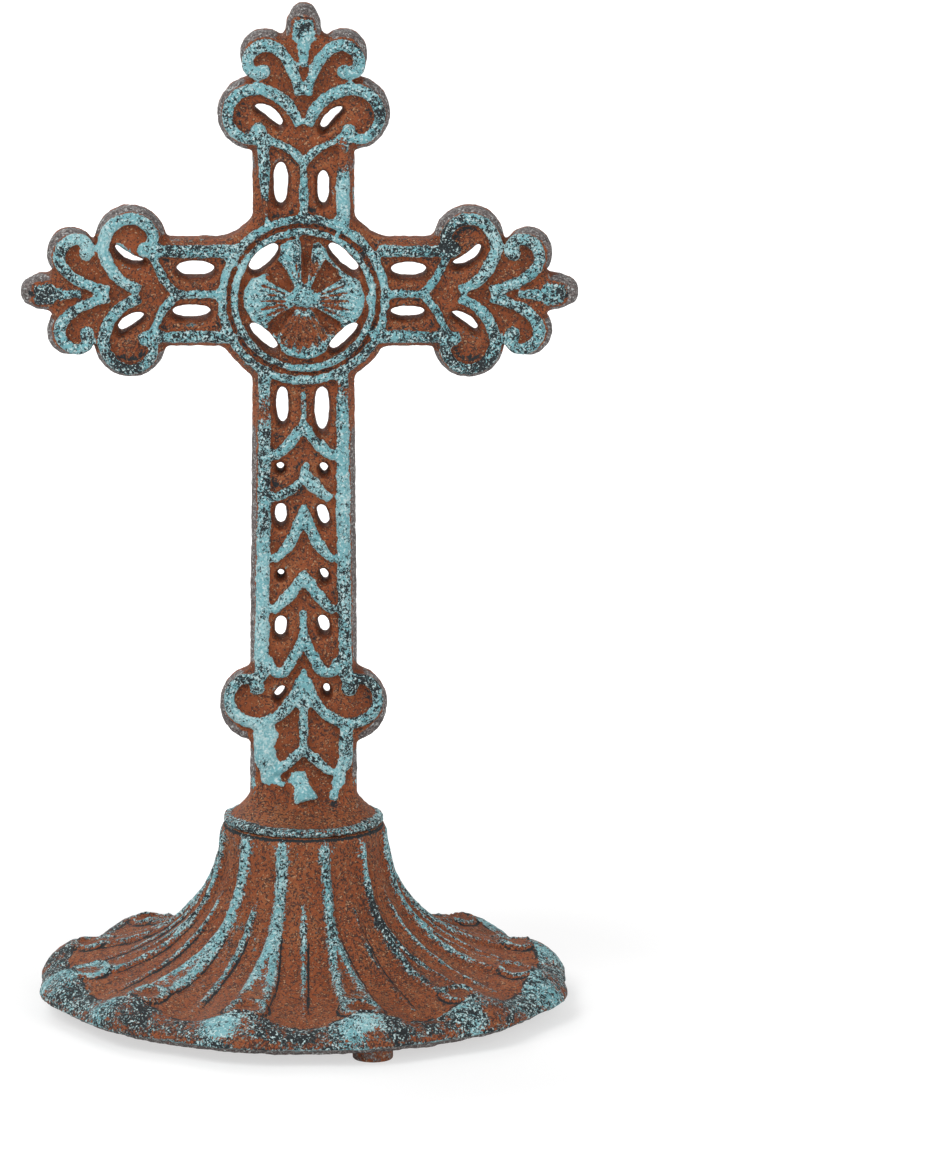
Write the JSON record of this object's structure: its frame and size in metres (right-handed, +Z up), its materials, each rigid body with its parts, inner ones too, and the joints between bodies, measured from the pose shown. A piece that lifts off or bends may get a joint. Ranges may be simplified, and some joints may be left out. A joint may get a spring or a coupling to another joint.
{
  "type": "painted cast-iron table cross",
  "caption": "Openwork painted cast-iron cross with lobed, scrolled ends, a ringed flower at its centre and a tapering stem, standing on a fluted, scalloped round base.",
  "frame": {"origin": "centre of the base, on the surface that its feet stand on", "axes": "+Z up along the stem, the ornamented face toward -Y, +X toward the right arm as seen from the front"},
  "size_m": [0.139, 0.133, 0.2546],
  "materials": {
    "cross": "matt rust-brown paint on a sand-cast surface, with turquoise verdigris dry-brushed on the raised ribs",
    "base": "matt rust-brown paint on a sand-cast surface, with turquoise verdigris dry-brushed on the flutes and the rim"
  },
  "bodies": {
    "root": {"cross": "cross", "base": "base"}
  },
  "joints": []
}
